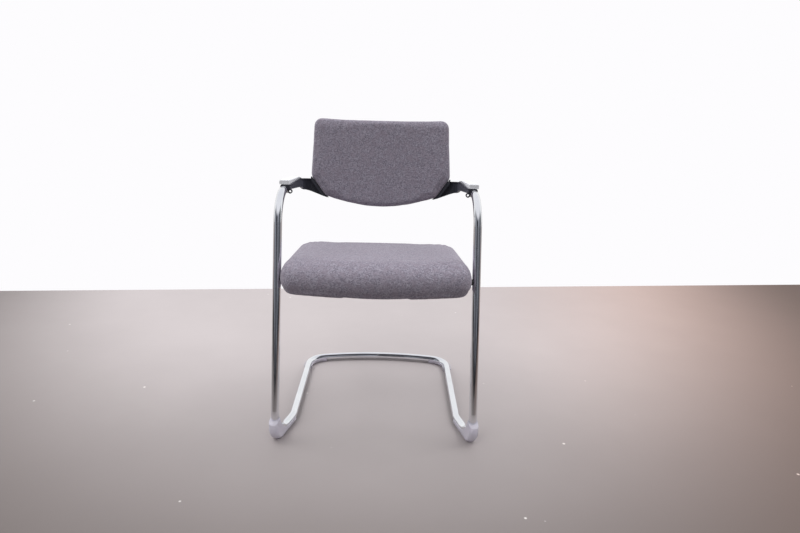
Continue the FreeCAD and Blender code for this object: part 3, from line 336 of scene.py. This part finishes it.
# %% The pattern of the weave
CROSSING = 2.6
CLOUD = 14.0
cloth, tree, shader, place = start_finish("wool_mixture_cloth", Roughness=0.92, Sheen_Weight=0.25,
                                          Sheen_Roughness=0.5, Specular_IOR_Level=0.2)
shader.inputs["Sheen Tint"].default_value = colour("#E4E0EA")
crossing = add(tree, "TexVoronoi", {"Vector": place, "Scale": per_mm(CROSSING),
                                    "Randomness": 0.75})
fibres = add(tree, "TexNoise", {"Vector": place, "Scale": per_mm(CROSSING), "Detail": 4.0,
                                "Roughness": 0.7})
clouds = add(tree, "TexNoise", {"Vector": place, "Scale": per_mm(CLOUD), "Detail": 2.0})
print("started", cloth.name, "crossings", CROSSING, "mm")

# %% The yarn's greys and the mauve cast
MOST_CAST = 0.55
one_grey = add(tree, "SeparateColor", {"Color": crossing.outputs["Color"]}).outputs["Red"]
greys = add(tree, "Mix", {FACTOR: one_grey, FIRST: colour("#716B78"), SECOND: colour("#A19CA9")},
            data_type="RGBA")
mauve = add(tree, "MapRange", {"Value": clouds.outputs["Fac"], "From Min": 0.4, "From Max": 0.65,
                               "To Min": 0.0, "To Max": MOST_CAST})
cast = add(tree, "Mix", {FACTOR: mauve.outputs["Result"], FIRST: greys.outputs[MIXED],
                         SECOND: colour("#8B818D")}, data_type="RGBA")
tree.links.new(cast.outputs[MIXED], shader.inputs["Base Color"])
print("the cast covers at most", MOST_CAST, "of the greys")

# %% The raised crossings
WEAVE_DEPTH = 0.0012
CROSSING_RISE = -0.8
raised = add(tree, "Math", {0: crossing.outputs["Distance"], 1: CROSSING_RISE,
                            2: fibres.outputs["Fac"]}, operation="MULTIPLY_ADD")
weave = add(tree, "Bump", {"Height": raised.outputs["Value"], "Strength": 0.5,
                           "Distance": WEAVE_DEPTH})
tree.links.new(weave.outputs["Normal"], shader.inputs["Normal"])
print("made", cloth.name, "relief", WEAVE_DEPTH * 1000, "mm")

# %% [markdown]
# ## Give each solid piece its finish
# The solid pieces already have the right shapes, so each only takes the material that it is made
# of.

# %% Dress the solid pieces
made_of = {
    chromium: ["frame_tube_left", "frame_tube_right", "crossbar_weld"],
    polycarbonate: ["front_glide_left", "front_glide_right", "rear_glide_left", "rear_glide_right"],
    nylon: ["arm_left", "arm_right", "back_shell", "seat_pan", "seat_under_cover",
            "tube_plug_left", "tube_plug_right"],
    polyurethane: ["arm_pad_left", "arm_pad_right"],
    powder: ["seat_bar", "seat_rail_left", "seat_rail_right", "seat_rear_bar"],
    zinc: ["crossbar_joint_sleeve", "seat_screws", "seat_lock_screws", "under_cover_screws",
           "wing_screws", "back_shell_screws", "arm_pad_screws"],
    brass: ["seat_inserts", "back_inserts"],
    beech: ["back_board"],
    cloth: ["seat_cushion", "back_cushion"],
}
for finish, names in made_of.items():
    for name in names:
        for slot in nodes[name].material_slots:
            slot.material = finish
print("dressed", sum(len(names) for names in made_of.values()), "of", len(nodes))

# %% [markdown]
# ## Padding
# A cushion is foam under a tight cover. Its faces swell between the edges and its corners stay
# soft. We could model the swelling by hand, but letting the cover act as cloth under a little air
# pressure finds the same balance that real cloth does. The solid cushion is copied, cut into
# small even squares, and then blown up against its own stiffness. A point may move only so far,
# so the cushion stays the size of the real one.

# %% Keep the shape that modifiers give
def apply_modifiers(piece):
    """Keeps the shape that a piece's modifiers give, and takes the modifiers away."""
    bpy.context.view_layer.update()
    shaped = piece.evaluated_get(bpy.context.evaluated_depsgraph_get())
    mesh = bpy.data.meshes.new_from_object(shaped)
    piece.modifiers.clear()
    piece.data = mesh


# %% Copy a solid cushion and cut it into even squares
def even_copy(node, name, square):
    """A copy of a solid cushion's skin, made of squares of one size."""
    cushion = new_object(name, nodes[node].data.copy())
    remesh = cushion.modifiers.new("squares", "REMESH")
    remesh.mode = "VOXEL"
    remesh.voxel_size = square
    apply_modifiers(cushion)
    return cushion


# %% Blow the cover up as cloth
CLOTH_FRAMES = 20


def blow_up(cushion, pressure, furthest, held_below):
    """Runs the cover as cloth, holds what lies below a height, and caps how far a point moves."""
    before = [vertex.co.copy() for vertex in cushion.data.vertices]
    group = cushion.vertex_groups.new(name="held")
    for vertex in cushion.data.vertices:
        group.add([vertex.index], 1.0 if vertex.co.z < held_below else 0.0, "REPLACE")
    sim = cushion.modifiers.new("cover", "CLOTH")
    sim.settings.use_pressure = True
    sim.settings.uniform_pressure_force = pressure
    sim.settings.effector_weights.gravity = 0.0
    sim.settings.vertex_group_mass = group.name
    scene = bpy.context.scene
    for step in range(1, CLOTH_FRAMES + 1):
        scene.frame_set(step)
    apply_modifiers(cushion)
    scene.frame_set(1)
    moved = 0.0
    for vertex, start in zip(cushion.data.vertices, before):
        move = vertex.co - start
        if move.length > furthest:
            vertex.co = start + move * (furthest / move.length)
        moved = max(moved, min(move.length, furthest))
    print(cushion.name, "furthest move mm:", round(moved * 1000, 1))


# %% Finish a cushion
def finish_cushion(cushion, node):
    """Smooths the cover, dresses it and puts it in the place of the plain solid."""
    finer = cushion.modifiers.new("finer", "SUBSURF")
    finer.levels = 1
    finer.render_levels = 1
    apply_modifiers(cushion)
    for polygon in cushion.data.polygons:
        polygon.use_smooth = True
    cushion.data.materials.clear()
    cushion.data.materials.append(cloth)
    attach(cushion, "root")
    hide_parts(node)
    across = [vertex.co.x for vertex in cushion.data.vertices]
    print(cushion.name, "is", round((max(across) - min(across)) * 1000), "mm wide, in",
          len(cushion.data.polygons), "faces")


# %% [markdown]
# ## The seat cushion
# The seat is a deep block of foam with a rounded front that spares the legs. It rests on the pan,
# so its underside is held while the rest swells. The cover's own pull narrows it by a few
# millimetres, so the copy is first let out a little. The photographed seat also sits slightly
# askew and is wider behind, so the copy is widened and shifted more and more towards its back
# edge.

# %% Copy the seat and give it the photographed one's shape
SEAT_SQUARE = 0.006
SEAT_LET_OUT = 0.0015
SEAT_WIDER = 1.012
REAR_WIDER = 0.04
REAR_ASKEW = 0.007
seat_low, seat_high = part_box("seat_cushion")
seat = even_copy("seat_cushion", "seat_padding", SEAT_SQUARE)
outwards = [vertex.normal.copy() for vertex in seat.data.vertices]
for vertex, normal in zip(seat.data.vertices, outwards):
    vertex.co += normal * SEAT_LET_OUT
    back_share = (vertex.co.y - seat_low[1]) / (seat_high[1] - seat_low[1])
    wider = SEAT_WIDER + REAR_WIDER * back_share
    vertex.co.x = vertex.co.x * wider - REAR_ASKEW * back_share
print("seat copy:", len(seat.data.vertices), "points")

# %% Pad the seat
SEAT_PRESSURE = 4.0
SEAT_FURTHEST = 0.0035
SEAT_HELD = 0.03
blow_up(seat, SEAT_PRESSURE, SEAT_FURTHEST, held_below=seat_low[2] + SEAT_HELD)
finish_cushion(seat, "seat_cushion")

# %% [markdown]
# ## The back cushion
# The back is thinner foam on a curved board, and its cover swells evenly all round, so no point
# of it is held. The helper holds what lies below a height, and below the floor there is nothing.

# %% Pad the back
BACK_SQUARE = 0.005
BACK_PRESSURE = 3.0
BACK_FURTHEST = 0.003
FLOOR_HEIGHT = 0.0
back = even_copy("back_cushion", "back_padding", BACK_SQUARE)
blow_up(back, BACK_PRESSURE, BACK_FURTHEST, held_below=FLOOR_HEIGHT)
finish_cushion(back, "back_cushion")

# %% [markdown]
# ## The floor
# The chair stands on power-floated concrete, pale and slightly warm, with soft clouds in it and a
# few bright specks of stone. A wall stands about a metre behind the chair and is a little turned,
# so the floor ends there on a slant.

# %% Lay the floor
WALL_DISTANCE = 1.06
WALL_TURN = math.radians(5.2)
ROOM = 2.4
slant = math.tan(WALL_TURN) * ROOM
floor_mesh = bpy.data.meshes.new("concrete_floor")
floor_mesh.from_pydata([(-ROOM, -ROOM, 0), (ROOM, -ROOM, 0), (ROOM, WALL_DISTANCE + slant, 0),
                        (-ROOM, WALL_DISTANCE - slant, 0)], [], [(0, 1, 2, 3)])
floor = new_object("concrete_floor", floor_mesh)
print("the floor is", 2 * ROOM, "m wide and ends", WALL_DISTANCE, "m behind the chair")

# %% Patterns of floated concrete
CLOUDING = 260.0
SPECKS = 120.0
SAND = 3.0
concrete, tree, shader, place = start_finish("floated_concrete", Specular_IOR_Level=0.3)
clouding = add(tree, "TexNoise", {"Vector": place, "Scale": per_mm(CLOUDING), "Detail": 6.0,
                                  "Roughness": 0.6})
sand = add(tree, "TexNoise", {"Vector": place, "Scale": per_mm(SAND), "Detail": 2.0})
specks = add(tree, "TexVoronoi", {"Vector": place, "Scale": per_mm(SPECKS)})
print("started", concrete.name, "clouds", CLOUDING, "mm, specks", SPECKS, "mm apart")

# %% [markdown]
# The photographed floor is brightest near the wall and falls off towards the photographer, in an
# oval. That falloff of the light is painted into the floor's own colour as painted shade, because
# a lamp that did it would also light the chair unevenly. Distances are in metres from a place
# behind the chair, and the oval is narrower from side to side.

# %% The floor's greys, with painted shade from the bright oval outwards
LIT_PLACE = (0.0, 1.8, 0.0)
LIT_SHAPE = (1.32, 1.0, 1.0)
LIT_TO = 1.6
DIM_FROM = 2.85
off_centre = add(tree, "VectorMath", {0: place, 1: LIT_PLACE}, operation="SUBTRACT")
oval = add(tree, "VectorMath", {0: off_centre.outputs["Vector"], 1: LIT_SHAPE},
           operation="MULTIPLY")
far = add(tree, "VectorMath", {0: oval.outputs["Vector"]}, operation="LENGTH")
dimming = add(tree, "MapRange", {"Value": far.outputs["Value"], "From Min": LIT_TO,
                                 "From Max": DIM_FROM}, interpolation_type="SMOOTHSTEP")
pale_grey = add(tree, "Mix", {FACTOR: clouding.outputs["Fac"], FIRST: colour("#BCB4B5"),
                              SECOND: colour("#C6BEBF")}, data_type="RGBA")
# Painted shade: the floor's colour darkens away from the bright oval, in place of the light's
# falloff.
painted_falloff = add(tree, "Mix", {FACTOR: dimming.outputs["Result"], FIRST: pale_grey.outputs[MIXED],
                         SECOND: colour("#6A6260")}, data_type="RGBA")
print("the floor is bright to", LIT_TO, "m and dim from", DIM_FROM, "m")

# %% Specks of stone and the warm side
SPECK_CORE = 0.02
SPECK_EDGE = 0.04
WARM_FROM = 0.2
WARM_TO = 1.6
speck_mask = add(tree, "MapRange", {"Value": specks.outputs["Distance"], "From Min": SPECK_CORE,
                                    "From Max": SPECK_EDGE, "To Min": 0.8, "To Max": 0.0})
speckled = add(tree, "Mix", {FACTOR: speck_mask.outputs["Result"], FIRST: painted_falloff.outputs[MIXED],
                             SECOND: colour("#F4F0EE")}, data_type="RGBA")
axes = add(tree, "SeparateXYZ", {"Vector": place})
warm_side = add(tree, "MapRange", {"Value": axes.outputs["X"], "From Min": WARM_FROM,
                                   "From Max": WARM_TO}, interpolation_type="SMOOTHSTEP")
warmed = add(tree, "Mix", {FACTOR: warm_side.outputs["Result"], FIRST: speckled.outputs[MIXED],
                           SECOND: colour("#FFE8DC")}, data_type="RGBA", blend_type="MULTIPLY")
tree.links.new(warmed.outputs[MIXED], shader.inputs["Base Color"])
floated = add(tree, "MapRange", {"Value": sand.outputs["Fac"], "To Min": 0.6, "To Max": 0.8})
tree.links.new(floated.outputs["Result"], shader.inputs["Roughness"])
floor_mesh.materials.append(concrete)
print("made", concrete.name)

# %% [markdown]
# ## The room
# Plate and gloss need a room to mirror. The wall behind the chair and the ceiling are white, and
# the room behind the photographer is dim with a few dark doorways, which draws the dark bands
# down the middle of each tube. Below the horizon lies the far floor. The world gives this room to
# mirrored rays only.

# %% A white wall, a pale ceiling and a dim room behind the camera
world = bpy.data.worlds.new("showroom")
bpy.context.scene.world = world
world.use_nodes = True
tree = world.node_tree
tree.nodes.clear()
direction = add(tree, "TexCoord").outputs["Generated"]
axes = add(tree, "SeparateXYZ", {"Vector": direction})
wall = add(tree, "MapRange", {"Value": axes.outputs["Y"], "From Min": -0.25, "From Max": 0.2},
           interpolation_type="SMOOTHSTEP")
ceiling = add(tree, "MapRange", {"Value": axes.outputs["Z"], "From Min": 0.45, "From Max": 0.75},
              interpolation_type="SMOOTHSTEP")
ground = add(tree, "MapRange", {"Value": axes.outputs["Z"], "From Min": 0.0, "From Max": -0.04})
print("made", world.name)

# %% Doorways in the dim room
DOORWAY_SHAPE = (3.2, 1.0, 0.6)
DOORWAYS = 1.6
stretched = add(tree, "VectorMath", {0: direction, 1: DOORWAY_SHAPE}, operation="MULTIPLY")
doorways = add(tree, "TexNoise", {"Vector": stretched.outputs["Vector"], "Scale": DOORWAYS,
                                  "Detail": 1.0})
shadows = add(tree, "MapRange", {"Value": doorways.outputs["Fac"], "From Min": 0.42,
                                 "From Max": 0.58})
dim_room = add(tree, "Mix", {FACTOR: shadows.outputs["Result"], FIRST: colour("#1C1D23"),
                             SECOND: colour("#9C9EA6")}, data_type="RGBA")
print("doorways are", round(DOORWAY_SHAPE[0] / DOORWAY_SHAPE[2], 1), "times as tall as wide")

# %% The whole mirrored room
with_wall = add(tree, "Mix", {FACTOR: wall.outputs["Result"], FIRST: dim_room.outputs[MIXED],
                              SECOND: colour("#FFFFFF")}, data_type="RGBA")
with_ceiling = add(tree, "Mix", {FACTOR: ceiling.outputs["Result"], FIRST: with_wall.outputs[MIXED],
                                 SECOND: colour("#F4F4F8")}, data_type="RGBA")
floor_far = add(tree, "Mix", {FACTOR: wall.outputs["Result"], FIRST: colour("#262425"),
                              SECOND: colour("#B4ABA9")}, data_type="RGBA")
whole_room = add(tree, "Mix", {FACTOR: ground.outputs["Result"], FIRST: with_ceiling.outputs[MIXED],
                               SECOND: floor_far.outputs[MIXED]}, data_type="RGBA")
mirrored = add(tree, "Background", {"Color": whole_room.outputs[MIXED], "Strength": 1.0})
print("the room has", len(tree.nodes), "nodes")

# %% [markdown]
# ## The soft light
# Cloth and plastic take a soft white light from the world. It is stronger from the bright wall
# than from the dim room in front, and lies between the two from the ceiling. The camera, and what
# is seen through the clear glides, gets a plain white background.

# %% Soft light from the wall, the front and above
FROM_FRONT = 0.25
FROM_WALL = 1.5
FROM_ABOVE = 1.0
from_wall = add(tree, "MapRange", {"Value": axes.outputs["Y"], "From Min": -0.3, "From Max": 0.35,
                                   "To Min": FROM_FRONT, "To Max": FROM_WALL},
                interpolation_type="SMOOTHSTEP")
overhead = add(tree, "MapRange", {"Value": axes.outputs["Z"], "From Min": 0.3, "From Max": 0.75},
               interpolation_type="SMOOTHSTEP")
strength = add(tree, "Mix", {FACTOR: overhead.outputs["Result"],
                             FIRST_NUMBER: from_wall.outputs["Result"],
                             SECOND_NUMBER: FROM_ABOVE}, data_type="FLOAT")
soft = add(tree, "Background", {"Color": colour("#FFFFFF"),
                                "Strength": strength.outputs[MIXED_NUMBER]})
print("light from the front", FROM_FRONT, "the wall", FROM_WALL, "and above", FROM_ABOVE)

# %% What each kind of ray sees
ray = add(tree, "LightPath")
soft_or_mirror = add(tree, "MixShader", {0: ray.outputs["Is Glossy Ray"],
                                         1: soft.outputs["Background"],
                                         2: mirrored.outputs["Background"]})
see_through = add(tree, "Math", {0: ray.outputs["Is Camera Ray"],
                                 1: ray.outputs["Is Transmission Ray"]}, operation="MAXIMUM")
seen = add(tree, "Background", {"Color": colour("#FDFCFE"), "Strength": 1.0})
surface = add(tree, "MixShader", {0: see_through.outputs["Value"],
                                  1: soft_or_mirror.outputs["Shader"],
                                  2: seen.outputs["Background"]})
add(tree, "OutputWorld", {"Surface": surface.outputs["Shader"]})
print("the world has", len(tree.nodes), "nodes")

# %% [markdown]
# ## The lamps
# The showroom has wide lights in its ceiling. One on each side of the chair fills the shade under
# the seat from both sides, and a weaker one in front lights the seat's rounded front. They all
# point at the seat. Mirrored rays don't see them, because the room above already holds their
# reflections.

# %% Hang the ceiling lights
LAMP_SIZE = 1.2
LAMPS_POINT_AT = Vector((0, 0, 0.4))
ceiling_lights = {
    "ceiling_light_left": ((-1.7, 0.3, 2.6), 17.0),
    "ceiling_light_right": ((1.7, 0.3, 2.6), 17.0),
    "ceiling_light_front": ((-0.9, -1.6, 2.3), 10.0),
}
for name, (hung_at, watts) in ceiling_lights.items():
    lamp_data = bpy.data.lights.new(name, "AREA")
    lamp_data.shape = "RECTANGLE"
    lamp_data.size = LAMP_SIZE
    lamp_data.size_y = LAMP_SIZE
    lamp_data.energy = watts
    lamp = new_object(name, lamp_data)
    lamp.location = hung_at
    lamp.rotation_euler = (LAMPS_POINT_AT - Vector(hung_at)).to_track_quat("-Z", "Y").to_euler()
    lamp.visible_glossy = False
    print("hung", name, "of", watts, "W")

# %% [markdown]
# ## Colour as written
# The standard view keeps each colour as it was written down, so the finishes can be compared with
# the photograph directly.

# %% View settings
bpy.context.scene.view_settings.view_transform = "Standard"
